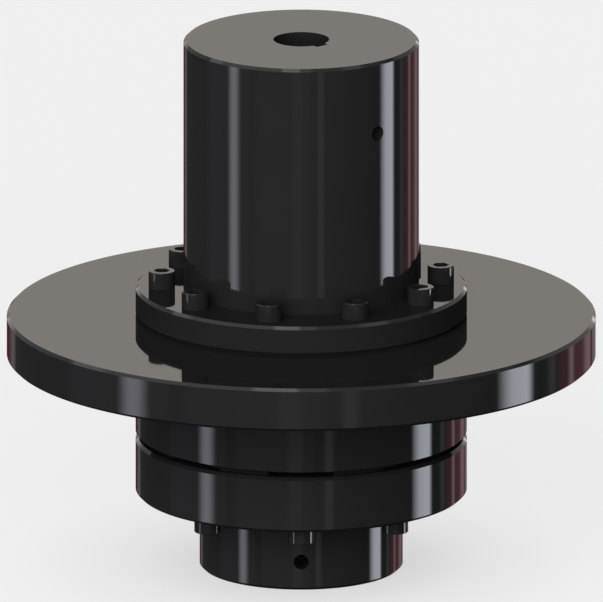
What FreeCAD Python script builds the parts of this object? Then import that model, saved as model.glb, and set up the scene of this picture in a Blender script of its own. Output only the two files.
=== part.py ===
import FreeCAD, Part
import math
import os

# Elastic claw coupling with a brake disc, standing upright on its lower hub.
# Millimetres, +Z up along the shaft axis, origin at the centre of the lower end face.
# A bearing is an angle about the axis in degrees: 0 is the front (-Y), 90 is +X.

# Sizes shared by several pieces
COUPLING_DIA = 225.0
EDGE_CHAMFER = 2.0
REGISTER_CLEARANCE = 0.1
OVERCUT = 1.0

# Lower hub, its flange let into the underside of the pocket ring
LOWER_HUB_DIA = 138.0
LOWER_SHANK_LENGTH = 52.0
LOWER_FLANGE_DIA = 204.0
LOWER_FLANGE_THICK = 13.0
LOWER_BOSS_SETBACK = 2.5
LOWER_BORE_DIA = 48.0
LOWER_KEY_WIDTH = 14.0
LOWER_KEY_DEPTH = 3.8
LOWER_SET_SCREW_HEIGHT = 20.0
LOWER_KEY_BEARING = 0.0

# Pocket ring, with a land between each two pockets
POCKET_RING_THICK = 38.5
POCKET_INNER_DIA = 156.0
POCKET_OUTER_DIA = 212.0
POCKET_CORNER_RADIUS = 3.0
LAND_ANGLE = 12.8

# Claw ring, its claws hanging into the pockets
RING_GAP = 2.5
CLAW_RING_THICK = 53.5
CLAW_RING_BORE_DIA = 100.0
CLAW_COUNT = 8
CLAW_ANGLE = 20.2
CLAW_WALL_CLEARANCE = 1.0
CLAW_EDGE_RADIUS = 2.0
CLAW_TIP_CHAMFER = 1.0

# Rubber blocks, one each side of a claw
BLOCK_FLANK_CLEARANCE = 0.15
BLOCK_WALL_CLEARANCE = 0.6
BLOCK_TOP_SETBACK = 2.0
BLOCK_CORNER_RADIUS = 3.5
TORSIONAL_PLAY = 1.0

# Brake disc
DISC_DIA = 400.0
DISC_THICK = 30.0

# Upper hub, its spigot centring the disc and the claw ring
UPPER_HUB_DIA = 160.0
UPPER_BARREL_LENGTH = 172.5
UPPER_FLANGE_THICK = 20.0
SPIGOT_DIA = 120.0
SPIGOT_INTO_CLAW_RING = 10.0
SPIGOT_END_CLEARANCE = 1.0
UPPER_BORE_DIA = 38.0
UPPER_KEY_WIDTH = 10.0
UPPER_KEY_DEPTH = 3.3
UPPER_SET_SCREW_DROP = 50.0
UPPER_KEY_BEARING = 40.5

# M12 socket head cap screws, the thread drawn at its core diameter
SCREW_DIA = 12.0
SCREW_CORE_DIA = 10.0
SCREW_HOLE_DIA = 13.5
HEAD_DIA = 18.0
HEAD_HEIGHT = 12.0
HEAD_CHAMFER = 1.0
HEAD_SOCKET_WIDTH = 10.0
HEAD_SOCKET_DEPTH = 6.0
SCREW_POINT_CHAMFER = 1.0
THREAD_CLEARANCE = 0.1
TAPPED_HOLE_SPARE = 4.0

# The two rings of cap screws
FLANGE_SCREW_COUNT = 10
FLANGE_SCREW_EDGE_DISTANCE = 17.5
FLANGE_SCREW_FIRST_BEARING = 22.5
FLANGE_SCREW_THREAD = 15.0
RING_SCREW_THREAD = 17.0

# M12 set screws that clamp the keys, deep in their tapped holes
SET_SCREW_LENGTH = 16.0
SET_SCREW_SETBACK = 0.5
SET_SCREW_SOCKET_WIDTH = 6.0
SET_SCREW_SOCKET_DEPTH = 5.0

# Heights of the faces where the pieces meet, from the bottom up
RING_SEAT_Z = LOWER_SHANK_LENGTH
POCKET_FLOOR_Z = RING_SEAT_Z + LOWER_FLANGE_THICK
POCKET_TOP_Z = RING_SEAT_Z + POCKET_RING_THICK
CLAW_RING_Z = POCKET_TOP_Z + RING_GAP
DISC_Z = CLAW_RING_Z + CLAW_RING_THICK
UPPER_FLANGE_Z = DISC_Z + DISC_THICK
BARREL_Z = UPPER_FLANGE_Z + UPPER_FLANGE_THICK
TOP_Z = BARREL_Z + UPPER_BARREL_LENGTH
SPIGOT_END_Z = DISC_Z - SPIGOT_INTO_CLAW_RING
UPPER_SET_SCREW_Z = TOP_Z - UPPER_SET_SCREW_DROP

CLAW_PITCH = 360.0 / CLAW_COUNT
LAND_BEARINGS = [CLAW_PITCH * i for i in range(CLAW_COUNT)]
CLAW_BEARINGS = [CLAW_PITCH * (i + 0.5) for i in range(CLAW_COUNT)]
FLANGE_SCREW_BEARINGS = [
    FLANGE_SCREW_FIRST_BEARING + 360.0 / FLANGE_SCREW_COUNT * i for i in range(FLANGE_SCREW_COUNT)
]

# The flange screws keep their distance from the rim, and the ring screws stand
# midway between the lower hub's boss and the rim of its flange
FLANGE_SCREW_PCD = COUPLING_DIA - 2 * FLANGE_SCREW_EDGE_DISTANCE
RING_SCREW_PCD = (POCKET_INNER_DIA + LOWER_FLANGE_DIA) / 2

ORIGIN = FreeCAD.Vector(0, 0, 0)
UP = FreeCAD.Vector(0, 0, 1)
SAME_PLACE = 1e-4
POCKET_HALF_ANGLE = (CLAW_PITCH - LAND_ANGLE) / 2
TAPPED_DIA = SCREW_CORE_DIA + 2 * THREAD_CLEARANCE


def at_bearing(radius, bearing, height):
    """The point at a radius and bearing about the axis."""
    angle = math.radians(bearing)
    return FreeCAD.Vector(radius * math.sin(angle), -radius * math.cos(angle), height)


def turned(outline):
    """A turned solid from its half section, given as (radius, height) corners."""
    corners = [FreeCAD.Vector(radius, 0, height) for radius, height in outline]
    section = Part.Face(Part.makePolygon(corners + corners[:1]))
    return section.revolve(ORIGIN, UP, 360)


def ring_holes(diameter, low, high, pcd, bearings):
    """Upright holes on a pitch circle."""
    return [
        Part.makeCylinder(diameter / 2, high - low, at_bearing(pcd / 2, bearing, low), UP)
        for bearing in bearings
    ]


def radial_bar(diameter, inner, outer, bearing, height):
    """A level cylinder that points away from the axis."""
    direction = at_bearing(1, bearing, 0)
    start = at_bearing(inner, bearing, height)
    return Part.makeCylinder(diameter / 2, outer - inner, start, direction)


def keyway(bore_dia, width, depth, low, high, bearing):
    """A slot in the wall of a bore, from the axis to its flat bottom."""
    bottom = bore_dia / 2 + depth
    slot = Part.makeBox(width, bottom, high - low, FreeCAD.Vector(-width / 2, -bottom, low))
    slot.rotate(ORIGIN, UP, bearing)
    return slot


def hexagon(width, depth, top):
    """A hexagonal socket, cut downwards from its mouth."""
    corner = width / 2 / math.cos(math.radians(30))
    corners = [at_bearing(corner, 60 * i, top) for i in range(7)]
    return Part.Face(Part.makePolygon(corners)).extrude(FreeCAD.Vector(0, 0, -depth))


def sector(inner, outer, first, last, low, high):
    """A curved block between two radii and two bearings."""
    middle = (first + last) / 2
    arcs = [
        Part.Arc(*[at_bearing(radius, bearing, low) for bearing in (first, middle, last)]).toShape()
        for radius in (inner, outer)
    ]
    sides = [
        Part.makeLine(at_bearing(inner, bearing, low), at_bearing(outer, bearing, low))
        for bearing in (first, last)
    ]
    outline = Part.Wire(Part.__sortEdges__(arcs + sides))
    return Part.Face(outline).extrude(FreeCAD.Vector(0, 0, high - low))


def upright_edges(block):
    """The edges of a block that run straight up."""
    return [edge for edge in block.Edges if edge.BoundBox.XLength + edge.BoundBox.YLength < SAME_PLACE]


def level_edges(block, height):
    """The edges of a block that lie in one level plane."""
    return [
        edge for edge in block.Edges
        if all(abs(vertex.Point.z - height) < SAME_PLACE for vertex in edge.Vertexes)
    ]


def reach(edge):
    """How far an upright edge is from the axis."""
    return math.hypot(edge.CenterOfMass.x, edge.CenterOfMass.y)


def lower_hub():
    """The lower shaft's hub: shank, flange under the pocket ring, and boss inside it."""
    shank = LOWER_HUB_DIA / 2
    flange = LOWER_FLANGE_DIA / 2
    boss = POCKET_INNER_DIA / 2
    bore = LOWER_BORE_DIA / 2
    boss_top = POCKET_TOP_Z - LOWER_BOSS_SETBACK
    hub = turned([
        (bore, 0),
        (shank - EDGE_CHAMFER, 0),
        (shank, EDGE_CHAMFER),
        (shank, RING_SEAT_Z),
        (flange, RING_SEAT_Z),
        (flange, POCKET_FLOOR_Z),
        (boss, POCKET_FLOOR_Z),
        (boss, boss_top),
        (bore, boss_top),
    ])
    cuts = ring_holes(SCREW_HOLE_DIA, RING_SEAT_Z, POCKET_FLOOR_Z, RING_SCREW_PCD, LAND_BEARINGS)
    cuts.append(keyway(LOWER_BORE_DIA, LOWER_KEY_WIDTH, LOWER_KEY_DEPTH, 0, boss_top, LOWER_KEY_BEARING))
    cuts.append(radial_bar(TAPPED_DIA, 0, LOWER_HUB_DIA, LOWER_KEY_BEARING, LOWER_SET_SCREW_HEIGHT))
    return hub.cut(cuts)


def pocket_ring():
    """The ring round the lower hub, with a pocket for each claw and its two blocks."""
    outer = COUPLING_DIA / 2
    seat = LOWER_FLANGE_DIA / 2 + REGISTER_CLEARANCE
    inner = POCKET_INNER_DIA / 2 + REGISTER_CLEARANCE
    ring = turned([
        (seat, RING_SEAT_Z),
        (outer - EDGE_CHAMFER, RING_SEAT_Z),
        (outer, RING_SEAT_Z + EDGE_CHAMFER),
        (outer, POCKET_TOP_Z - EDGE_CHAMFER),
        (outer - EDGE_CHAMFER, POCKET_TOP_Z),
        (inner, POCKET_TOP_Z),
        (inner, POCKET_FLOOR_Z),
        (seat, POCKET_FLOOR_Z),
    ])
    cuts = []
    for bearing in CLAW_BEARINGS:
        pocket = sector(inner - OVERCUT, POCKET_OUTER_DIA / 2, bearing - POCKET_HALF_ANGLE,
                        bearing + POCKET_HALF_ANGLE, POCKET_FLOOR_Z, POCKET_TOP_Z)
        corners = [edge for edge in upright_edges(pocket) if reach(edge) > inner]
        cuts.append(pocket.makeFillet(POCKET_CORNER_RADIUS, corners))
    tapped_top = POCKET_FLOOR_Z + RING_SCREW_THREAD + TAPPED_HOLE_SPARE
    cuts += ring_holes(TAPPED_DIA, POCKET_FLOOR_Z, tapped_top, RING_SCREW_PCD, LAND_BEARINGS)
    return ring.cut(cuts)


def rubber_block(claw_bearing, side):
    """A rubber block between a claw's flank and a land, standing on the hub flange."""
    claw_end = claw_bearing + side * (CLAW_ANGLE / 2 + BLOCK_FLANK_CLEARANCE)
    land_end = claw_bearing + side * (POCKET_HALF_ANGLE - TORSIONAL_PLAY)
    outer = POCKET_OUTER_DIA / 2 - BLOCK_WALL_CLEARANCE
    block = sector(POCKET_INNER_DIA / 2 + BLOCK_WALL_CLEARANCE, outer, claw_end, land_end,
                   POCKET_FLOOR_Z, POCKET_TOP_Z - BLOCK_TOP_SETBACK)
    corner = at_bearing(outer, land_end, block.CenterOfMass.z)
    rounded = min(upright_edges(block), key=lambda edge: edge.CenterOfMass.distanceToPoint(corner))
    return block.makeFillet(BLOCK_CORNER_RADIUS, [rounded])


def claw(bearing):
    """One claw, from the claw ring down to the flange that its tip stands on."""
    block = sector(POCKET_INNER_DIA / 2 + CLAW_WALL_CLEARANCE, POCKET_OUTER_DIA / 2 - CLAW_WALL_CLEARANCE,
                   bearing - CLAW_ANGLE / 2, bearing + CLAW_ANGLE / 2, POCKET_FLOOR_Z, CLAW_RING_Z)
    block = block.makeFillet(CLAW_EDGE_RADIUS, upright_edges(block))
    return block.makeChamfer(CLAW_TIP_CHAMFER, level_edges(block, POCKET_FLOOR_Z))


def claw_ring():
    """The ring under the brake disc, turned and milled with its claws from one piece."""
    outer = COUPLING_DIA / 2
    bore = CLAW_RING_BORE_DIA / 2
    register = SPIGOT_DIA / 2 + REGISTER_CLEARANCE
    register_floor = SPIGOT_END_Z - SPIGOT_END_CLEARANCE
    ring = turned([
        (bore, CLAW_RING_Z),
        (outer - EDGE_CHAMFER, CLAW_RING_Z),
        (outer, CLAW_RING_Z + EDGE_CHAMFER),
        (outer, DISC_Z - EDGE_CHAMFER),
        (outer - EDGE_CHAMFER, DISC_Z),
        (register, DISC_Z),
        (register, register_floor),
        (bore, register_floor),
    ])
    ring = ring.fuse([claw(bearing) for bearing in CLAW_BEARINGS]).removeSplitter()
    tapped_floor = DISC_Z - FLANGE_SCREW_THREAD - TAPPED_HOLE_SPARE
    return ring.cut(ring_holes(TAPPED_DIA, tapped_floor, DISC_Z, FLANGE_SCREW_PCD, FLANGE_SCREW_BEARINGS))


def brake_disc():
    """The solid brake disc, centred on the upper hub's spigot."""
    outer = DISC_DIA / 2
    bore = SPIGOT_DIA / 2 + REGISTER_CLEARANCE
    disc = turned([
        (bore, DISC_Z),
        (outer - EDGE_CHAMFER, DISC_Z),
        (outer, DISC_Z + EDGE_CHAMFER),
        (outer, UPPER_FLANGE_Z - EDGE_CHAMFER),
        (outer - EDGE_CHAMFER, UPPER_FLANGE_Z),
        (bore, UPPER_FLANGE_Z),
    ])
    holes = ring_holes(SCREW_HOLE_DIA, DISC_Z, UPPER_FLANGE_Z, FLANGE_SCREW_PCD, FLANGE_SCREW_BEARINGS)
    return disc.cut(holes)


def upper_hub():
    """The upper shaft's hub: long barrel, bolted flange, and spigot through the disc."""
    barrel = UPPER_HUB_DIA / 2
    flange = COUPLING_DIA / 2
    spigot = SPIGOT_DIA / 2
    bore = UPPER_BORE_DIA / 2
    hub = turned([
        (bore, SPIGOT_END_Z),
        (spigot, SPIGOT_END_Z),
        (spigot, UPPER_FLANGE_Z),
        (flange - EDGE_CHAMFER, UPPER_FLANGE_Z),
        (flange, UPPER_FLANGE_Z + EDGE_CHAMFER),
        (flange, BARREL_Z - EDGE_CHAMFER),
        (flange - EDGE_CHAMFER, BARREL_Z),
        (barrel, BARREL_Z),
        (barrel, TOP_Z - EDGE_CHAMFER),
        (barrel - EDGE_CHAMFER, TOP_Z),
        (bore, TOP_Z),
    ])
    cuts = ring_holes(SCREW_HOLE_DIA, UPPER_FLANGE_Z, BARREL_Z, FLANGE_SCREW_PCD, FLANGE_SCREW_BEARINGS)
    cuts.append(keyway(UPPER_BORE_DIA, UPPER_KEY_WIDTH, UPPER_KEY_DEPTH, SPIGOT_END_Z, TOP_Z,
                       UPPER_KEY_BEARING))
    cuts.append(radial_bar(TAPPED_DIA, 0, UPPER_HUB_DIA, UPPER_KEY_BEARING, UPPER_SET_SCREW_Z))
    return hub.cut(cuts)


def cap_screw(grip, thread):
    """A socket head cap screw, pointing down with its head's underside at height 0."""
    head = HEAD_DIA / 2
    shank = SCREW_DIA / 2
    core = SCREW_CORE_DIA / 2
    length = grip + thread
    screw = turned([
        (0, -length),
        (core - SCREW_POINT_CHAMFER, -length),
        (core, SCREW_POINT_CHAMFER - length),
        (core, -grip),
        (shank, -grip),
        (shank, 0),
        (head, 0),
        (head, HEAD_HEIGHT - HEAD_CHAMFER),
        (head - HEAD_CHAMFER, HEAD_HEIGHT),
        (0, HEAD_HEIGHT),
    ])
    return screw.cut(hexagon(HEAD_SOCKET_WIDTH, HEAD_SOCKET_DEPTH, HEAD_HEIGHT))


def screw_circle(screw, pcd, bearings, height):
    """Copies of a screw on a pitch circle, as a group of separate solids."""
    copies = []
    for bearing in bearings:
        copy = screw.copy()
        copy.rotate(ORIGIN, UP, bearing)
        copy.translate(at_bearing(pcd / 2, bearing, height))
        copies.append(copy)
    return Part.makeCompound(copies)


def flange_screws():
    """The screws that clamp the upper hub and the disc to the claw ring."""
    screw = cap_screw(UPPER_FLANGE_THICK + DISC_THICK, FLANGE_SCREW_THREAD)
    return screw_circle(screw, FLANGE_SCREW_PCD, FLANGE_SCREW_BEARINGS, BARREL_Z)


def ring_screws():
    """The screws that hold the lower hub's flange up in the pocket ring."""
    screw = cap_screw(LOWER_FLANGE_THICK, RING_SCREW_THREAD)
    screw.rotate(ORIGIN, FreeCAD.Vector(1, 0, 0), 180)
    return screw_circle(screw, RING_SCREW_PCD, LAND_BEARINGS, RING_SEAT_Z)


def set_screw(key_seat_radius, bearing, height):
    """A set screw in its radial hole, its flat end just short of the keyway."""
    inner = key_seat_radius + SET_SCREW_SETBACK
    core = SCREW_CORE_DIA / 2
    screw = turned([
        (0, 0),
        (core - SCREW_POINT_CHAMFER, 0),
        (core, SCREW_POINT_CHAMFER),
        (core, SET_SCREW_LENGTH),
        (0, SET_SCREW_LENGTH),
    ])
    screw = screw.cut(hexagon(SET_SCREW_SOCKET_WIDTH, SET_SCREW_SOCKET_DEPTH, SET_SCREW_LENGTH))
    screw.rotate(ORIGIN, FreeCAD.Vector(1, 0, 0), 90)
    screw.rotate(ORIGIN, UP, bearing)
    screw.translate(at_bearing(inner, bearing, height))
    return screw


def all_parts():
    """Every node of the coupling, from the bottom up."""
    parts = {
        "lower_hub": lower_hub(),
        "lower_set_screw": set_screw(LOWER_BORE_DIA / 2 + LOWER_KEY_DEPTH, LOWER_KEY_BEARING,
                                     LOWER_SET_SCREW_HEIGHT),
        "pocket_ring": pocket_ring(),
        "ring_screws": ring_screws(),
    }
    sides = [(bearing, side) for bearing in CLAW_BEARINGS for side in (-1, 1)]
    for number, (bearing, side) in enumerate(sides, start=1):
        parts[f"rubber_block_{number}"] = rubber_block(bearing, side)
    parts["claw_ring"] = claw_ring()
    parts["brake_disc"] = brake_disc()
    parts["upper_hub"] = upper_hub()
    parts["flange_screws"] = flange_screws()
    parts["upper_set_screw"] = set_screw(UPPER_BORE_DIA / 2 + UPPER_KEY_DEPTH, UPPER_KEY_BEARING,
                                         UPPER_SET_SCREW_Z)
    return parts


os.makedirs("parts", exist_ok=True)
for node, shape in all_parts().items():
    shape.exportStep(f"parts/{node}.step")
    print(node, len(shape.Solids), "valid" if shape.isValid() else "not valid", round(shape.Volume))
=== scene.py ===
import math

import bmesh
import bpy
from mathutils import Matrix, Vector


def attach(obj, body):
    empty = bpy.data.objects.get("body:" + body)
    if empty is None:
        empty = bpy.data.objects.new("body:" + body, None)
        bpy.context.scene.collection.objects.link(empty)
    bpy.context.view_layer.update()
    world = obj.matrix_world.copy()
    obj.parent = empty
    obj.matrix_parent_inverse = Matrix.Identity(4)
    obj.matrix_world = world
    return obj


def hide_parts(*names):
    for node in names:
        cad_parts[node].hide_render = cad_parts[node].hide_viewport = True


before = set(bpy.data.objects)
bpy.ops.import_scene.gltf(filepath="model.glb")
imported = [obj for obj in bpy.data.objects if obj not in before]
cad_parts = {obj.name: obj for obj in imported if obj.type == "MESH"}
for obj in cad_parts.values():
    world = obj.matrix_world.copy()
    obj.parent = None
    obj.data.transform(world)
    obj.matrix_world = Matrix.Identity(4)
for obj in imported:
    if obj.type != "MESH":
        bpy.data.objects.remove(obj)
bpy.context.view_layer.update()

# The brake disc coupling is built upwards from the floor, as a fitter stacks it.
# Sizes are in millimetres. A bearing is an angle about the shaft: 0 is the front, 90 the right.


# Sizes that pieces share
# Thicknesses along the shaft and the heights that they add up to, then screws, holes and claws.

MM = 0.001
COUPLING_DIA = 225.0
EDGE_CHAMFER = 2.0
REGISTER_CLEARANCE = 0.1

LOWER_SHANK_LENGTH = 52.0
LOWER_FLANGE_THICK = 13.0
POCKET_RING_THICK = 38.5
RING_GAP = 2.5
CLAW_RING_THICK = 53.5
DISC_THICK = 30.0
UPPER_FLANGE_THICK = 20.0
UPPER_BARREL_LENGTH = 172.5

RING_SEAT_Z = LOWER_SHANK_LENGTH
POCKET_FLOOR_Z = RING_SEAT_Z + LOWER_FLANGE_THICK
POCKET_TOP_Z = RING_SEAT_Z + POCKET_RING_THICK
CLAW_RING_Z = POCKET_TOP_Z + RING_GAP
DISC_Z = CLAW_RING_Z + CLAW_RING_THICK
UPPER_FLANGE_Z = DISC_Z + DISC_THICK
BARREL_Z = UPPER_FLANGE_Z + UPPER_FLANGE_THICK
TOP_Z = BARREL_Z + UPPER_BARREL_LENGTH

CLAW_COUNT = 8
CLAW_PITCH = 360.0 / CLAW_COUNT
CLAW_ANGLE = 20.2
LAND_ANGLE = 12.8
POCKET_HALF_ANGLE = (CLAW_PITCH - LAND_ANGLE) / 2
BOSS_DIA = 156.0
POCKET_OUTER_DIA = 212.0
LOWER_FLANGE_DIA = 204.0

SHANK_DIA = 12.0
CORE_DIA = 10.0
THREAD_CLEARANCE = 0.1
TAPPED_DIA = CORE_DIA + 2 * THREAD_CLEARANCE
TAPPED_HOLE_SPARE = 4.0
SCREW_HOLE_DIA = 13.5
RING_SCREW_THREAD = 17.0
FLANGE_SCREW_THREAD = 15.0
FLANGE_SCREW_EDGE_DISTANCE = 17.5

# Each circle of screws: count, first bearing, pitch circle.
RING_SCREW_CIRCLE = (CLAW_COUNT, 0.0, (BOSS_DIA + LOWER_FLANGE_DIA) / 2)
FLANGE_SCREW_CIRCLE = (10, 22.5, COUPLING_DIA - 2 * FLANGE_SCREW_EDGE_DISTANCE)


# Turning and cutting
# A tool reaches past the piece that it cuts by the overcut, or by the drill's reach. Corners
# nearer than the weld are one corner, and a sliver is what is narrower than a burr.

TURNING_STEPS = 360
DRILL_STEPS = 48
OVERCUT = 1.0
DRILL_REACH = 5.0
WELD = 0.001
BURR = 0.005


def placed(name, data):
    """A new object in the scene, at the origin."""
    made = bpy.data.objects.new(name, data)
    bpy.context.scene.collection.objects.link(made)
    return made


def piece(name, shape):
    """A finished bmesh as an object."""
    bmesh.ops.remove_doubles(shape, verts=shape.verts, dist=WELD * MM)
    bmesh.ops.recalc_face_normals(shape, faces=shape.faces)
    mesh = bpy.data.meshes.new(name)
    shape.to_mesh(mesh)
    shape.free()
    return placed(name, mesh)


def turned(name, outline, steps=TURNING_STEPS):
    """A piece turned from its half section, given as (radius, height) corners.

    An outline that starts and ends on the axis is left open there.
    """
    shape = bmesh.new()
    corners = [shape.verts.new((0, -radius * MM, height * MM)) for radius, height in outline]
    pairs = list(zip(corners, corners[1:]))
    if outline[0][0] > 0:
        pairs.append((corners[-1], corners[0]))
    edges = [shape.edges.new(pair) for pair in pairs]
    bmesh.ops.spin(shape, geom=corners + edges, axis=(0, 0, 1), cent=(0, 0, 0),
                   angle=math.tau, steps=steps, use_merge=True)
    return piece(name, shape)


def settle(made):
    """Turns a piece with modifiers into a plain mesh."""
    graph = bpy.context.evaluated_depsgraph_get()
    mesh = bpy.data.meshes.new_from_object(made.evaluated_get(graph))
    made.modifiers.clear()
    made.data = mesh


def deburr(made):
    """Takes off the slivers that a cut leaves along its edges."""
    shape = bmesh.new()
    shape.from_mesh(made.data)
    bmesh.ops.remove_doubles(shape, verts=shape.verts, dist=BURR * MM)
    bmesh.ops.dissolve_degenerate(shape, edges=shape.edges, dist=BURR * MM)
    shape.to_mesh(made.data)
    shape.free()


def machine(made, *tools, operation="DIFFERENCE"):
    """Cuts tools out of a piece one after the other, or joins them to it."""
    for tool in tools:
        step = made.modifiers.new(tool.name, "BOOLEAN")
        step.object = tool
        step.operation = operation
        step.solver = "EXACT"
    settle(made)
    for tool in tools:
        bpy.data.objects.remove(tool)
    deburr(made)
    return made


def drill(name, diameter, low, high):
    """An upright drill that cuts between two heights."""
    radius = diameter / 2
    return turned(name, [(0, low), (radius, low), (radius, high), (0, high)], DRILL_STEPS)


def tap_drill(length, bearing, height):
    """The drill for a set screw's hole. It lies at a height and points away from the shaft."""
    made = drill("tap_drill", TAPPED_DIA, 0, length)
    lying = Matrix.Rotation(math.radians(90), 4, "X")
    lifted = Matrix.Translation((0, 0, height * MM))
    made.data.transform(Matrix.Rotation(math.radians(bearing), 4, "Z") @ lifted @ lying)
    return made


def key_slot(bore_dia, key, low, high, bearing):
    """The broach that cuts a keyway. key is its width, and its depth beyond the bore."""
    width, depth = key
    length = bore_dia / 2 + depth
    size = Matrix.Diagonal((width * MM, length * MM, (high - low) * MM, 1))
    middle = Matrix.Translation((0, -length / 2 * MM, (low + high) / 2 * MM))
    turn = Matrix.Rotation(math.radians(bearing), 4, "Z")
    shape = bmesh.new()
    bmesh.ops.create_cube(shape, size=1, matrix=turn @ middle @ size)
    return piece("key_slot", shape)


# Blocks between two radii
# Claws, pockets, rubber blocks and reliefs. An arc's steps, in degrees, are wider than any
# rounding at the arc's ends, because a rounding that is wider than a step is cut short. Edges
# are found within CLOSE, in millimetres or degrees.

ARC_STEP = 2.2
ROUNDING_STEPS = 5
CIRCULAR = 0.5
CLOSE = 0.01
SHARP_ANGLE = 30.0


def spot_at(radius, bearing, height):
    """The point at a radius and bearing about the shaft, in metres."""
    angle = math.radians(bearing)
    return Vector((radius * math.sin(angle), -radius * math.cos(angle), height)) * MM


def curved_block(name, inner, outer, first, last, low, high, rounding=()):
    """A block between two radii and two bearings.

    rounding is a list of (radius, test), and rounds each edge whose two ends pass the test.
    """
    shape = bmesh.new()
    steps = round(abs(last - first) / ARC_STEP)
    bearings = [first + (last - first) * i / steps for i in range(steps + 1)]
    outline = [spot_at(outer, bearing, low) for bearing in bearings]
    outline += [spot_at(inner, bearing, low) for bearing in reversed(bearings)]
    floor = shape.faces.new([shape.verts.new(corner) for corner in outline])
    top = bmesh.ops.extrude_face_region(shape, geom=[floor])
    lifted = [item for item in top["geom"] if isinstance(item, bmesh.types.BMVert)]
    bmesh.ops.translate(shape, verts=lifted, vec=(0, 0, (high - low) * MM))
    bmesh.ops.recalc_face_normals(shape, faces=shape.faces)
    for radius, test in rounding:
        edges = [edge for edge in shape.edges
                 if edge.calc_face_angle(0) > math.radians(SHARP_ANGLE)
                 and all(test(end.co) for end in edge.verts)]
        bmesh.ops.bevel(shape, geom=edges, offset=radius * MM, segments=ROUNDING_STEPS,
                        profile=CIRCULAR, affect="EDGES", clamp_overlap=True)
    return piece(name, shape)


def at_corner(radius, bearings):
    """A test for the upright edges at a radius and some bearings."""
    def test(spot):
        bearing = math.degrees(math.atan2(spot.x, -spot.y))
        aside = min(abs(bearing - corner) for corner in bearings)
        off = abs(math.hypot(spot.x, spot.y) - radius * MM)
        return off < CLOSE * MM and aside < CLOSE
    return test


def at_height(height):
    """A test for the level edges at a height."""
    return lambda spot: abs(spot.z - height * MM) < CLOSE * MM


# Nodes
# Short forms for the nodes of patterns, finishes, floor and room. The mix node's sockets for
# colours have the numbers below.

COLOUR_A, COLOUR_B, MIXED_COLOUR = 6, 7, 2


def feed(node, sockets):
    """Sets what a node's sockets hold, or links them to the sockets that feed them."""
    for name, value in sockets.items():
        if isinstance(value, bpy.types.NodeSocket):
            node.id_data.links.new(value, node.inputs[name])
        else:
            node.inputs[name].default_value = value


def add(tree, kind, sockets=None, **settings):
    """One node with its settings, and with what its sockets hold or are fed by."""
    node = tree.nodes.new(kind)
    for name, value in settings.items():
        setattr(node, name, value)
    feed(node, sockets or {})
    return node


def maths(tree, operation, *terms):
    """The result of an operation on numbers or sockets."""
    sockets = dict(enumerate(terms))
    return add(tree, "ShaderNodeMath", sockets, operation=operation).outputs[0]


def linear(code):
    """An sRGB hex colour as linear red, green, blue and alpha."""
    parts = [int(code[i:i + 2], 16) / 255 for i in (1, 3, 5)]
    return [p / 12.92 if p <= 0.04045 else ((p + 0.055) / 1.055) ** 2.4 for p in parts] + [1.0]


def mixed(tree, share, first, second):
    """A colour between two others, which are colours or sockets."""
    sockets = {0: share, COLOUR_A: first, COLOUR_B: second}
    return add(tree, "ShaderNodeMix", sockets, data_type="RGBA").outputs[MIXED_COLOUR]


def either(tree, share, first, second):
    """The first shader where the share is 0, the second where it is 1."""
    return add(tree, "ShaderNodeMixShader", {0: share, 1: first, 2: second}).outputs[0]


# Patterns round the shaft
# Geometry nodes set out the copies of a tool, and each pattern's inputs say how many and where.

def around_the_shaft():
    """The node tree that repeats a tool round the shaft axis."""
    tree = bpy.data.node_groups.new("around_the_shaft", "GeometryNodeTree")
    for name, kind in (("Geometry", "NodeSocketGeometry"), ("Tool", "NodeSocketObject"),
                       ("Count", "NodeSocketInt"), ("Pitch Circle", "NodeSocketFloat"),
                       ("First Bearing", "NodeSocketFloat"), ("Height", "NodeSocketFloat")):
        tree.interface.new_socket(name, in_out="INPUT", socket_type=kind)
    tree.interface.new_socket("Geometry", in_out="OUTPUT", socket_type="NodeSocketGeometry")
    given = add(tree, "NodeGroupInput").outputs
    index = add(tree, "GeometryNodeInputIndex").outputs[0]
    step = maths(tree, "DIVIDE", math.tau, given["Count"])
    first = maths(tree, "RADIANS", given["First Bearing"])
    bearing = maths(tree, "MULTIPLY_ADD", index, step, first)
    about_z = add(tree, "ShaderNodeCombineXYZ", {"Z": bearing})
    turn = add(tree, "FunctionNodeEulerToRotation", {0: about_z.outputs[0]}).outputs[0]
    forward = maths(tree, "MULTIPLY", given["Pitch Circle"], -MM / 2)
    height = maths(tree, "MULTIPLY", given["Height"], MM)
    at_front = add(tree, "ShaderNodeCombineXYZ", {"Y": forward, "Z": height})
    place = add(tree, "FunctionNodeRotateVector",
                {"Vector": at_front.outputs[0], "Rotation": turn})
    points = add(tree, "GeometryNodePoints",
                 {"Count": given["Count"], "Position": place.outputs[0]})
    tool = add(tree, "GeometryNodeObjectInfo", {"Object": given["Tool"]})
    copies = add(tree, "GeometryNodeInstanceOnPoints",
                 {"Points": points.outputs[0], "Instance": tool.outputs["Geometry"],
                  "Rotation": turn})
    real = add(tree, "GeometryNodeRealizeInstances", {"Geometry": copies.outputs[0]})
    add(tree, "NodeGroupOutput", {"Geometry": real.outputs[0]})
    return tree


repeat = around_the_shaft()


def circle_of(name, tool, count, first_bearing, pitch_circle=0.0, height=0.0):
    """Copies of a tool round the shaft, as one piece. The tool stands at bearing 0."""
    made = placed(name, bpy.data.meshes.new(name))
    step = made.modifiers.new(name, "NODES")
    step.node_group = repeat
    inputs = {"Tool": tool, "Count": count, "Pitch Circle": pitch_circle,
              "First Bearing": first_bearing, "Height": height}
    for item in repeat.interface.items_tree:
        if item.in_out == "INPUT" and item.name in inputs:
            step[item.identifier] = inputs[item.name]
    settle(made)
    bpy.data.objects.remove(tool)
    return made


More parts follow.
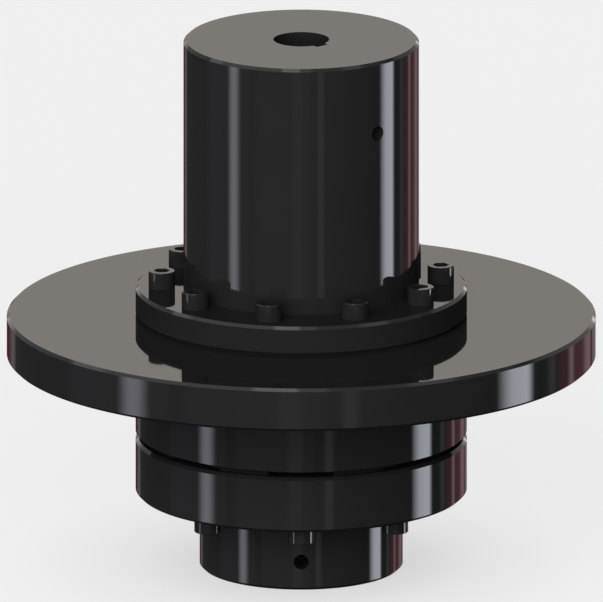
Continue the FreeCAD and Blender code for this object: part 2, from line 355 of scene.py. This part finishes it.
def holes(name, diameter, low, high, circle):
    """The drills for a circle of upright screw holes."""
    return circle_of(name, drill("hole", diameter, low, high), *circle)


# Finishing
# A face was turned on the lathe if its normal has a level share, and if that share lies along
# the spoke from the shaft, within the cosine below.

LEAST_LEVEL_SHARE = 0.01
LEAST_TURNED_COSINE = 0.9998


def crisp(made):
    """Real edges sharp, and the faces between them smooth."""
    made.data.shade_smooth()
    made.data.set_sharp_from_angle(angle=math.radians(SHARP_ANGLE))
    return made


def polished(made):
    """Real edges sharp, and turned faces as round as the lathe leaves them."""
    mesh = crisp(made).data
    normals = [corner.vector.copy() for corner in mesh.corner_normals]
    for face in mesh.polygons:
        spoke = Vector((face.center.x, face.center.y, 0))
        outward = Vector((face.normal.x, face.normal.y, 0))
        if outward.length < LEAST_LEVEL_SHARE or spoke.length < MM:
            continue
        along = spoke.normalized().dot(outward.normalized())
        if abs(along) < LEAST_TURNED_COSINE:
            continue
        for corner in face.loop_indices:
            spot = mesh.vertices[mesh.loops[corner].vertex_index].co
            level = Vector((spot.x, spot.y, 0)).normalized() * outward.length
            level *= math.copysign(1, along)
            normals[corner] = Vector((level.x, level.y, face.normal.z)).normalized()
    mesh.normals_split_custom_set(normals)
    return made


def coated(made, material):
    """Gives a piece its finish."""
    made.data.materials.clear()
    made.data.materials.append(material)


def dressed(made, material, body, slot, *nodes):
    """Gives a piece its finish and body, and hides the CAD nodes it stands for; slot is not used.
    """
    coated(made, material)
    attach(made, body)
    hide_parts(*nodes)


# Black finishes
# Each one's shade varies a little in patches, and each has a fine relief. The wave node's
# phase grows by 20 radians for each unit of distance times scale.

WAVE_NODE_FACTOR = 20


def new_finish(name):
    """A new material, its node tree, and the socket with each spot's place on the object."""
    finish = bpy.data.materials.new(name)
    finish.use_nodes = True
    tree = finish.node_tree
    return finish, tree, add(tree, "ShaderNodeTexCoord").outputs["Object"]


def noise(tree, spot, size, detail):
    """Noise from 0 to 1, in patches of about a size."""
    sockets = {"Vector": spot, "Scale": 1 / (size * MM), "Detail": detail}
    return add(tree, "ShaderNodeTexNoise", sockets).outputs["Fac"]


def lathe_rings(tree, spot, pitch):
    """The rings, from 0 to 1, that a lathe leaves on a face that it cuts across."""
    scale = math.tau / (WAVE_NODE_FACTOR * pitch * MM)
    sockets = {"Vector": spot, "Scale": scale, "Distortion": 0.0}
    rings = add(tree, "ShaderNodeTexWave", sockets, wave_type="RINGS", rings_direction="Z")
    return rings.outputs["Fac"]


def spread(tree, share, least, most):
    """A number between two others."""
    sockets = {"Value": share, "To Min": least, "To Max": most}
    return add(tree, "ShaderNodeMapRange", sockets).outputs[0]


def relief_of(tree, height, strength, depth):
    """The relief of a surface from its height, which is 0 to 1 of a depth."""
    sockets = {"Height": height, "Strength": strength, "Distance": depth * MM}
    return add(tree, "ShaderNodeBump", sockets).outputs[0]


def gloss_black_enamel():
    """Sprayed two-pack enamel on steel: a hard, wet-looking black that mirrors the room.

    Its faint orange peel is 2.5 mm across and its haze about 45 mm.
    """
    finish, tree, spot = new_finish("gloss_black_enamel")
    haze = noise(tree, spot, size=45, detail=3.0)
    peel = noise(tree, spot, size=2.5, detail=1.0)
    feed(tree.nodes["Principled BSDF"], {
        "Base Color": mixed(tree, haze, linear("#222222"), linear("#262626")),
        "Roughness": spread(tree, haze, least=0.02, most=0.06),
        "IOR": 1.5,
        "Normal": relief_of(tree, peel, strength=0.2, depth=0.002),
    })
    return finish


def blackened_steel():
    """Black oxide on turned steel, oiled: it is as dark as the enamel but less smooth.

    Its fine pits are 0.6 mm apart, drawn coarser than the real ones so that they show.
    """
    finish, tree, spot = new_finish("blackened_steel")
    oil = noise(tree, spot, size=9, detail=3.0)
    pits = noise(tree, spot, size=0.6, detail=2.0)
    feed(tree.nodes["Principled BSDF"], {
        "Base Color": mixed(tree, oil, linear("#202020"), linear("#282828")),
        "Roughness": spread(tree, oil, least=0.03, most=0.08),
        "IOR": 1.5,
        "Normal": relief_of(tree, pits, strength=0.3, depth=0.004),
    })
    return finish


def moulded_rubber():
    """Nitrile rubber from a blasted mould: matt, with a 0.8 mm grain and a bloom of 12 mm."""
    finish, tree, spot = new_finish("moulded_nitrile_rubber")
    bloom = noise(tree, spot, size=12, detail=4.0)
    grain = noise(tree, spot, size=0.8, detail=2.0)
    feed(tree.nodes["Principled BSDF"], {
        "Base Color": mixed(tree, bloom, linear("#161616"), linear("#232222")),
        "Roughness": 0.62,
        "IOR": 1.52,
        "Normal": relief_of(tree, grain, strength=0.5, depth=0.08),
    })
    return finish


def faced_black_steel():
    """Steel faced on a lathe and then coated black: a mirror with faint rings left by the tool.

    The real rings are 0.25 mm apart. They are drawn 3 mm apart so that they can show.
    """
    finish, tree, spot = new_finish("faced_black_steel")
    haze = noise(tree, spot, size=60, detail=3.0)
    rings = lathe_rings(tree, spot, pitch=3)
    feed(tree.nodes["Principled BSDF"], {
        "Base Color": mixed(tree, haze, linear("#222222"), linear("#262626")),
        "Roughness": spread(tree, haze, least=0.02, most=0.06),
        "IOR": 1.5,
        "Normal": relief_of(tree, rings, strength=0.1, depth=0.0005),
    })
    return finish


enamel = gloss_black_enamel()
screw_black = blackened_steel()


# Lower hub
# Turned from a steel bar, with the shank for the lower shaft, a flange let up into the pocket
# ring and a boss that centres the ring. It is bored, slotted for a key, tapped for its set
# screw and drilled for the ring screws, then sprayed gloss black.

LOWER_HUB_DIA = 138.0
LOWER_BORE_DIA = 48.0
LOWER_KEY = (14.0, 3.8)
LOWER_KEY_BEARING = 0.0
LOWER_SET_SCREW_Z = 20.0
BOSS_SETBACK = 2.5

lower_shank = LOWER_HUB_DIA / 2
boss_top = POCKET_TOP_Z - BOSS_SETBACK
lower_hub = turned("lower_hub_turned", [
    (LOWER_BORE_DIA / 2, 0),
    (lower_shank - EDGE_CHAMFER, 0),
    (lower_shank, EDGE_CHAMFER),
    (lower_shank, RING_SEAT_Z),
    (LOWER_FLANGE_DIA / 2, RING_SEAT_Z),
    (LOWER_FLANGE_DIA / 2, POCKET_FLOOR_Z),
    (BOSS_DIA / 2, POCKET_FLOOR_Z),
    (BOSS_DIA / 2, boss_top),
    (LOWER_BORE_DIA / 2, boss_top),
])
machine(
    lower_hub,
    key_slot(LOWER_BORE_DIA, LOWER_KEY, -OVERCUT, boss_top + OVERCUT, LOWER_KEY_BEARING),
    tap_drill(lower_shank + DRILL_REACH, LOWER_KEY_BEARING, LOWER_SET_SCREW_Z),
    holes("flange_holes", SCREW_HOLE_DIA, RING_SEAT_Z - OVERCUT, POCKET_FLOOR_Z + OVERCUT,
          RING_SCREW_CIRCLE),
)
dressed(polished(lower_hub), enamel, "lower_half", "black_steel", "lower_hub")


# Lower set screw
# An M12 socket set screw of blackened steel, deep in its tapped hole, that clamps the lower
# shaft's key. Its solid from the frame is right, and only gets its finish.

coated(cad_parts["lower_set_screw"], screw_black)


# Pocket ring
# A steel ring turned and then milled with eight pockets. It sits over the lower hub's boss, and
# the lands left between the pockets take the drive. Gloss black like the hub.

POCKET_CORNER_RADIUS = 3.0

rim = COUPLING_DIA / 2
seat = LOWER_FLANGE_DIA / 2 + REGISTER_CLEARANCE
land_face = BOSS_DIA / 2 + REGISTER_CLEARANCE
pocket_ring = turned("pocket_ring_milled", [
    (seat, RING_SEAT_Z),
    (rim - EDGE_CHAMFER, RING_SEAT_Z),
    (rim, RING_SEAT_Z + EDGE_CHAMFER),
    (rim, POCKET_TOP_Z - EDGE_CHAMFER),
    (rim - EDGE_CHAMFER, POCKET_TOP_Z),
    (land_face, POCKET_TOP_Z),
    (land_face, POCKET_FLOOR_Z),
    (seat, POCKET_FLOOR_Z),
])
pocket_sides = (-POCKET_HALF_ANGLE, POCKET_HALF_ANGLE)
pocket = curved_block(
    "pocket", land_face - OVERCUT, POCKET_OUTER_DIA / 2, *pocket_sides,
    POCKET_FLOOR_Z, POCKET_TOP_Z + OVERCUT,
    [(POCKET_CORNER_RADIUS, at_corner(POCKET_OUTER_DIA / 2, pocket_sides))])
machine(
    pocket_ring,
    circle_of("pockets", pocket, CLAW_COUNT, CLAW_PITCH / 2),
    holes("tapped_holes", TAPPED_DIA, POCKET_FLOOR_Z - OVERCUT,
          POCKET_FLOOR_Z + RING_SCREW_THREAD + TAPPED_HOLE_SPARE, RING_SCREW_CIRCLE),
)
dressed(polished(pocket_ring), enamel, "lower_half", "black_steel", "pocket_ring")


# Ring screws
# Eight M12 socket head cap screws, driven up from below through the lower hub's flange into the
# lands. Their heads hang under the ring. Cold headed, rolled and blackened.

HEAD_DIA = 18.0
HEAD_HEIGHT = 12.0
HEAD_CHAMFER = 0.4
SEAT_CHAMFER = 0.3
POINT_CHAMFER = 1.0
SOCKET_WIDTH = 10.0
SOCKET_DEPTH = 6.0
SOCKET_CONE_DEPTH = 2.0
SCREW_STEPS = 64


def hexagon_drive():
    """The punch that leaves a hexagonal socket with a shallow cone at its bottom."""
    corner = SOCKET_WIDTH / 2 / math.cos(math.radians(30))
    floor = HEAD_HEIGHT - SOCKET_DEPTH
    shape = bmesh.new()
    mouth, bottom = [[shape.verts.new(spot_at(corner, 60 * i, height)) for i in range(6)]
                     for height in (HEAD_HEIGHT + OVERCUT, floor)]
    tip = shape.verts.new(spot_at(0, 0, floor - SOCKET_CONE_DEPTH))
    shape.faces.new(mouth)
    for i in range(6):
        j = (i + 1) % 6
        shape.faces.new((mouth[i], mouth[j], bottom[j], bottom[i]))
        shape.faces.new((bottom[i], bottom[j], tip))
    return piece("hexagon_drive", shape)


def cap_screw(grip, thread):
    """A cap screw that points down, with its head's underside at height 0."""
    head, shank, core = HEAD_DIA / 2, SHANK_DIA / 2, CORE_DIA / 2
    length = grip + thread
    screw = turned("cap_screw", [
        (0, -length),
        (core - POINT_CHAMFER, -length),
        (core, POINT_CHAMFER - length),
        (core, -grip),
        (shank, -grip),
        (shank, 0),
        (head - SEAT_CHAMFER, 0),
        (head, SEAT_CHAMFER),
        (head, HEAD_HEIGHT - HEAD_CHAMFER),
        (head - HEAD_CHAMFER, HEAD_HEIGHT),
        (0, HEAD_HEIGHT),
    ], SCREW_STEPS)
    return machine(screw, hexagon_drive())


ring_screw = cap_screw(LOWER_FLANGE_THICK, RING_SCREW_THREAD)
ring_screw.data.transform(Matrix.Rotation(math.pi, 4, "X"))
ring_screws = circle_of("ring_cap_screws", ring_screw, *RING_SCREW_CIRCLE, RING_SEAT_Z)
dressed(crisp(ring_screws), screw_black, "lower_half", "black_screws", "ring_screws")


# Rubber blocks
# Sixteen moulded nitrile blocks, one each side of a claw, that stand on the lower hub's flange
# and carry the torque from claw to land. Matt, with rounded edges. Their flank clearance and
# the play are in degrees.

BLOCK_FLANK_CLEARANCE = 0.15
BLOCK_WALL_CLEARANCE = 0.6
BLOCK_TOP_SETBACK = 2.0
BLOCK_CORNER_RADIUS = 3.5
BLOCK_TOP_RADIUS = 0.6
TORSIONAL_PLAY = 1.0


def blocks_beside_claws(name, side):
    """The eight blocks on one side of their claws, -1 for the left and 1 for the right."""
    claw_end = side * (CLAW_ANGLE / 2 + BLOCK_FLANK_CLEARANCE)
    land_end = side * (POCKET_HALF_ANGLE - TORSIONAL_PLAY)
    inner = BOSS_DIA / 2 + BLOCK_WALL_CLEARANCE
    outer = POCKET_OUTER_DIA / 2 - BLOCK_WALL_CLEARANCE
    top = POCKET_TOP_Z - BLOCK_TOP_SETBACK
    block = curved_block("block", inner, outer, claw_end, land_end, POCKET_FLOOR_Z, top,
                         [(BLOCK_CORNER_RADIUS, at_corner(outer, (land_end,))),
                          (BLOCK_TOP_RADIUS, at_height(top))])
    return circle_of(name, block, CLAW_COUNT, CLAW_PITCH / 2)


rubber_blocks = machine(blocks_beside_claws("rubber_blocks_moulded", -1),
                        blocks_beside_claws("right_blocks", 1), operation="UNION")
dressed(crisp(rubber_blocks), moulded_rubber(), "rubber_blocks", "rubber",
        *[f"rubber_block_{number}" for number in range(1, 2 * CLAW_COUNT + 1)])


# Claw ring
# Turned from steel and milled with eight claws that hang into the pockets between the rubber
# blocks, and with a relief between each two claws. Ten tapped holes in its top take the flange
# screws. Gloss black.

CLAW_RING_BORE_DIA = 100.0
CLAW_WALL_CLEARANCE = 1.0
CLAW_EDGE_RADIUS = 2.0
CLAW_TIP_CHAMFER = 1.0
CLAW_ROOT = 6.0
RELIEF_ANGLE = 23.0
RELIEF_INNER_DIA = 214.0
RELIEF_DEPTH = 2.0
SPIGOT_DIA = 120.0
SPIGOT_INTO_CLAW_RING = 10.0
SPIGOT_END_CLEARANCE = 1.0

spigot_end = DISC_Z - SPIGOT_INTO_CLAW_RING
spigot_bore = SPIGOT_DIA / 2 + REGISTER_CLEARANCE
register_floor = spigot_end - SPIGOT_END_CLEARANCE
claw_ring = turned("claw_ring_milled", [
    (CLAW_RING_BORE_DIA / 2, CLAW_RING_Z),
    (rim - EDGE_CHAMFER, CLAW_RING_Z),
    (rim, CLAW_RING_Z + EDGE_CHAMFER),
    (rim, DISC_Z - EDGE_CHAMFER),
    (rim - EDGE_CHAMFER, DISC_Z),
    (spigot_bore, DISC_Z),
    (spigot_bore, register_floor),
    (CLAW_RING_BORE_DIA / 2, register_floor),
])
claw_inner = BOSS_DIA / 2 + CLAW_WALL_CLEARANCE
claw_outer = POCKET_OUTER_DIA / 2 - CLAW_WALL_CLEARANCE
claw_sides = (-CLAW_ANGLE / 2, CLAW_ANGLE / 2)
claw = curved_block(
    "claw", claw_inner, claw_outer, *claw_sides, POCKET_FLOOR_Z, CLAW_RING_Z + CLAW_ROOT,
    [(CLAW_EDGE_RADIUS, at_corner(claw_inner, claw_sides)),
     (CLAW_EDGE_RADIUS, at_corner(claw_outer, claw_sides)),
     (CLAW_TIP_CHAMFER, at_height(POCKET_FLOOR_Z))])
machine(claw_ring, circle_of("claws", claw, CLAW_COUNT, CLAW_PITCH / 2), operation="UNION")
relief = curved_block(
    "relief", RELIEF_INNER_DIA / 2, rim + OVERCUT, -RELIEF_ANGLE / 2, RELIEF_ANGLE / 2,
    CLAW_RING_Z - OVERCUT, CLAW_RING_Z + RELIEF_DEPTH)
machine(
    claw_ring,
    circle_of("reliefs", relief, CLAW_COUNT, 0),
    holes("tapped_holes", TAPPED_DIA, DISC_Z - FLANGE_SCREW_THREAD - TAPPED_HOLE_SPARE,
          DISC_Z + OVERCUT, FLANGE_SCREW_CIRCLE),
)
dressed(polished(claw_ring), enamel, "upper_half", "black_steel", "claw_ring")


# Brake disc
# A solid steel disc, 400 by 30, faced on the lathe on both sides and drilled for the flange
# screws. Its faces are the tracks for the calliper's pads.

DISC_DIA = 400.0
DISC_STEPS = 480

disc_edge = DISC_DIA / 2
brake_disc = turned("brake_disc_turned", [
    (spigot_bore, DISC_Z),
    (disc_edge - EDGE_CHAMFER, DISC_Z),
    (disc_edge, DISC_Z + EDGE_CHAMFER),
    (disc_edge, UPPER_FLANGE_Z - EDGE_CHAMFER),
    (disc_edge - EDGE_CHAMFER, UPPER_FLANGE_Z),
    (spigot_bore, UPPER_FLANGE_Z),
], DISC_STEPS)
machine(brake_disc, holes("disc_holes", SCREW_HOLE_DIA, DISC_Z - OVERCUT,
                          UPPER_FLANGE_Z + OVERCUT, FLANGE_SCREW_CIRCLE))
dressed(polished(brake_disc), faced_black_steel(), "upper_half", "disc_steel", "brake_disc")


# Upper hub
# One turning, with the long barrel for the upper shaft, the flange that holds the disc and the
# spigot that centres it. Bored, slotted for a key, tapped and drilled. Gloss black.

BARREL_DIA = 160.0
UPPER_BORE_DIA = 38.0
UPPER_KEY = (10.0, 3.3)
UPPER_KEY_BEARING = 40.5
UPPER_SET_SCREW_DROP = 50.0

barrel = BARREL_DIA / 2
upper_hub = turned("upper_hub_turned", [
    (UPPER_BORE_DIA / 2, spigot_end),
    (SPIGOT_DIA / 2, spigot_end),
    (SPIGOT_DIA / 2, UPPER_FLANGE_Z),
    (rim - EDGE_CHAMFER, UPPER_FLANGE_Z),
    (rim, UPPER_FLANGE_Z + EDGE_CHAMFER),
    (rim, BARREL_Z - EDGE_CHAMFER),
    (rim - EDGE_CHAMFER, BARREL_Z),
    (barrel, BARREL_Z),
    (barrel, TOP_Z - EDGE_CHAMFER),
    (barrel - EDGE_CHAMFER, TOP_Z),
    (UPPER_BORE_DIA / 2, TOP_Z),
])
machine(
    upper_hub,
    key_slot(UPPER_BORE_DIA, UPPER_KEY, spigot_end - OVERCUT, TOP_Z + OVERCUT, UPPER_KEY_BEARING),
    tap_drill(barrel + DRILL_REACH, UPPER_KEY_BEARING, TOP_Z - UPPER_SET_SCREW_DROP),
    holes("flange_holes", SCREW_HOLE_DIA, UPPER_FLANGE_Z - OVERCUT, BARREL_Z + OVERCUT,
          FLANGE_SCREW_CIRCLE),
)
dressed(polished(upper_hub), enamel, "upper_half", "black_steel", "upper_hub")


# Flange screws and upper set screw
# Ten M12 cap screws go down through the flange and the disc into the claw ring. The upper set
# screw is like the lower one, in the barrel's tapped hole.

flange_screw = cap_screw(DISC_THICK + UPPER_FLANGE_THICK, FLANGE_SCREW_THREAD)
flange_screws = circle_of("flange_cap_screws", flange_screw, *FLANGE_SCREW_CIRCLE, BARREL_Z)
dressed(crisp(flange_screws), screw_black, "upper_half", "black_screws", "flange_screws")
coated(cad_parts["upper_set_screw"], screw_black)


# Studio floor
# Pale card a hair below the coupling's foot. The camera sees it lit from within, so that it
# stays pale, with a faint shadow and a painted shade close to the coupling. Gloss doesn't see it,
# so that the turned faces mirror the room, and matt surfaces get little light back from it.

FLOOR_SIZE = 12000.0
FLOOR_GAP = 0.1
PALE = "#EFEFEF"
DULL = "#363636"
SHADOW_SHARE = 0.15
GLOW = 1.095
# The colour of the painted shade close to the coupling, how far it reaches, and its samples.
CONTACT_SHADE = "#D0D0D0"
CONTACT_REACH = 110.0
CONTACT_SAMPLES = 16


def pale_floor_card():
    """Card that glows for the camera and is dull to everything else."""
    card = bpy.data.materials.new("pale_floor_card")
    card.use_nodes = True
    tree = card.node_tree
    tree.nodes.clear()
    # Painted shade: the glow's colour darkens towards CONTACT_SHADE where the coupling is near.
    contact = add(tree, "ShaderNodeAmbientOcclusion", {"Distance": CONTACT_REACH * MM},
                  samples=CONTACT_SAMPLES)
    shaded = mixed(tree, contact.outputs["AO"], linear(CONTACT_SHADE), linear(PALE))
    glow = add(tree, "ShaderNodeEmission", {"Color": shaded, "Strength": GLOW})
    matt = add(tree, "ShaderNodeBsdfDiffuse", {"Color": linear(PALE)})
    dull = add(tree, "ShaderNodeBsdfDiffuse", {"Color": linear(DULL)})
    pale = either(tree, SHADOW_SHARE, glow.outputs[0], matt.outputs[0])
    to_camera = add(tree, "ShaderNodeLightPath").outputs["Is Camera Ray"]
    surface = either(tree, to_camera, dull.outputs[0], pale)
    add(tree, "ShaderNodeOutputMaterial", {"Surface": surface})
    return card


shape = bmesh.new()
bmesh.ops.create_grid(shape, x_segments=1, y_segments=1, size=FLOOR_SIZE / 2 * MM,
                      matrix=Matrix.Translation((0, 0, -FLOOR_GAP * MM)))
floor = piece("studio_floor", shape)
coated(floor, pale_floor_card())
floor.visible_glossy = False


# Studio room
# A pale backdrop for the camera. Matt surfaces get a broad soft light in front and a weaker one
# behind. Gloss mirrors a dim room hung with soft boxes and cards, where each card hides those
# before it. What gloss mirrors by way of another glossy face is dimmer still.

EVEN_LIGHT = 0.05
DIM_ROOM = 0.10
DIM_IN_GLOSS = 0.03
ONE_GLOSSY_FACE = 1.5
WHITE = "#FFFFFF"

# Each light or card: bearing, half width, soft edge, height, half height, soft edge (degrees),
# brightness, tint. A belt is the height, half height and soft edge of the cards that upright
# walls mirror.
SIDE_BELT = (-25, 26, 6)
BACK_BELT = (-12, 13, 6)
LIGHTS = {
    "front_light": (-16, 34, 40, 14, 34, 20, 3.80, WHITE),
    "back_light": (180, 26, 40, -4, 20, 20, 3.20, WHITE),
}
CARDS = {
    "ceiling": (0, 181, 1, 90, 44, 12, 0.70, WHITE),
    "ceiling_middle": (0, 181, 1, 90, 7, 6, 1.60, WHITE),
    "back_ceiling": (180, 50, 12, 72, 14, 8, 1.60, WHITE),
    "wall_band": (0, 112, 12, 22, 20, 6, 0.55, WHITE),
    "high_wall_band": (0, 92, 8, 33, 9, 8, 1.00, WHITE),
    "high_back_wall": (180, 42, 8, 44, 16, 8, 1.00, WHITE),
    "ceiling_right_gap": (50, 26, 10, 71, 9, 10, 0.25, WHITE),
    "right_low_gap": (105, 12, 6, 48, 8, 6, 0.20, WHITE),
    "overhead_box": (-22, 19, 6, 73, 6, 6, 1.90, WHITE),
    "left_upper_box": (-115, 8, 5, 41, 5, 5, 1.10, WHITE),
    "back_wall": (180, 29, 8, 14, 16, 10, 0.77, "#FFF9F1"),
    "left_back_wall": (-140, 16, 8, 28, 16, 8, 0.32, WHITE),
    "right_back_wall": (140, 16, 8, 26, 16, 8, 0.42, WHITE),
    "right_back_box": (164, 5, 3, 1, 4, 3, 2.00, WHITE),
    "left_back_box": (-165, 5, 3, 1, 4, 3, 0.95, WHITE),
    "low_back_wall": (180, 60, 10, -45, 20, 8, 0.02, WHITE),
    "left_dark": (-128, 26, 10, *SIDE_BELT, 0.055, WHITE),
    "left_wall": (-93, 10, 14, *SIDE_BELT, 0.155, "#E0D7FF"),
    "left_box": (-69.7, 4.8, 8, *SIDE_BELT, 2.75, "#F0EEFF"),
    "front_left_dark": (-50, 4, 6, *SIDE_BELT, 0.035, WHITE),
    "front_card": (-4, 5, 5, *SIDE_BELT, 0.20, WHITE),
    "front_dark": (12, 3, 5, *SIDE_BELT, 0.06, WHITE),
    "right_dark": (54, 30, 6, *SIDE_BELT, 0.05, WHITE),
    "front_gap": (19.3, 2.6, 4, *SIDE_BELT, 0.31, WHITE),
    "right_box_edge": (90.4, 4.8, 6, *SIDE_BELT, 3.30, "#F0F4FF"),
    "right_box": (96, 6.4, 5.5, *SIDE_BELT, 5.50, "#F0F4FF"),
    "right_gap": (109, 3.5, 4, *SIDE_BELT, 0.078, "#E4FFF8"),
    "right_slot": (116.8, 2.4, 4, *SIDE_BELT, 0.24, WHITE),
    "red_wall": (146, 24, 6, *BACK_BELT, 0.24, "#FFB0BC"),
    "pink_edge": (133, 2.2, 4, *BACK_BELT, 0.80, "#FFD4D6"),
    "pink_card": (152.5, 5, 6, *BACK_BELT, 0.46, "#FFCFD6"),
    "back_mid": (167, 7, 4, *BACK_BELT, 0.25, "#FFE2E6"),
    "back_dark": (160, 1.5, 3, *BACK_BELT, 0.08, "#FFDDE2"),
    "back_low_wall": (178, 4.5, 4, *BACK_BELT, 0.45, "#FFF0F2"),
    "left_back_card": (-156.2, 3.6, 4, *BACK_BELT, 0.24, "#FFF2F0"),
    "left_back_dark": (-170, 7.5, 4, *BACK_BELT, 0.068, "#FF94A6"),
    "left_back_rose": (-163, 2.5, 4, *BACK_BELT, 0.16, "#FFB0B8"),
    "back_rail": (180, 18, 6, -3, 4, 3, 0.50, "#FFE8E2"),
    "floor_shade": (0, 181, 1, -90, 40, 20, 0.01, WHITE),
}

world = bpy.data.worlds.new("studio_room")
bpy.context.scene.world = world
world.use_nodes = True
room = world.node_tree
room.nodes.clear()
sight = add(room, "ShaderNodeTexCoord").outputs["Generated"]
axes = add(room, "ShaderNodeSeparateXYZ", {0: sight}).outputs
forward = maths(room, "MULTIPLY", axes["Y"], -1.0)
bearing_seen = maths(room, "DEGREES", maths(room, "ARCTAN2", axes["X"], forward))
height_seen = maths(room, "DEGREES", maths(room, "ARCSINE", axes["Z"]))


def within(angle, middle, half, soft):
    """1 inside a span of angles and 0 outside it, with a soft edge."""
    off = maths(room, "WRAP", maths(room, "SUBTRACT", angle, middle), 180.0, -180.0)
    sockets = {"Value": maths(room, "ABSOLUTE", off), "To Min": 1.0, "To Max": 0.0,
               "From Min": half - soft / 2, "From Max": half + soft / 2}
    edge = add(room, "ShaderNodeMapRange", sockets, interpolation_type="SMOOTHSTEP")
    return edge.outputs[0]


def hung_with(even, cards):
    """The light of a room with even walls and some cards, as a background."""
    seen = [even, even, even, 1.0]
    for bearing, half_width, side_edge, height, half_height, top_edge, glow, tint in cards.values():
        inside = maths(room, "MULTIPLY",
                       within(bearing_seen, bearing, half_width, side_edge),
                       within(height_seen, height, half_height, top_edge))
        shade = [channel * glow for channel in linear(tint)[:3]] + [1.0]
        seen = mixed(room, inside, seen, shade)
    return add(room, "ShaderNodeBackground", {"Color": seen}).outputs[0]


backdrop = add(room, "ShaderNodeBackground", {"Color": linear(PALE)}).outputs[0]
ray = add(room, "ShaderNodeLightPath").outputs
in_gloss = maths(room, "GREATER_THAN", ray["Glossy Depth"], ONE_GLOSSY_FACE)
mirrored = either(room, in_gloss, hung_with(DIM_ROOM, CARDS), hung_with(DIM_IN_GLOSS, {}))
light = either(room, ray["Is Glossy Ray"], hung_with(EVEN_LIGHT, LIGHTS), mirrored)
view = either(room, ray["Is Camera Ray"], light, backdrop)
add(room, "ShaderNodeOutputWorld", {"Surface": view})


# Camera
# Straight in front and 15 degrees up, without perspective, because the photograph has none. It
# frames 409 mm across, centred half way up the coupling. The standard view leaves the colours
# as they are.

FRAME_WIDTH = 409.45
AIM = (0.155, 0.0, 185.0)
ELEVATION = 15.0
DISTANCE = 2000.0

lens = bpy.data.cameras.new("drawing_camera")
lens.type = "ORTHO"
lens.ortho_scale = FRAME_WIDTH * MM
camera = placed("camera", lens)
tilt = math.radians(ELEVATION)
away = Vector((0, -math.cos(tilt), math.sin(tilt)))
camera.location = (Vector(AIM) + away * DISTANCE) * MM
camera.rotation_euler = away.to_track_quat("Z", "Y").to_euler()
bpy.context.scene.camera = camera
bpy.context.scene.view_settings.view_transform = "Standard"
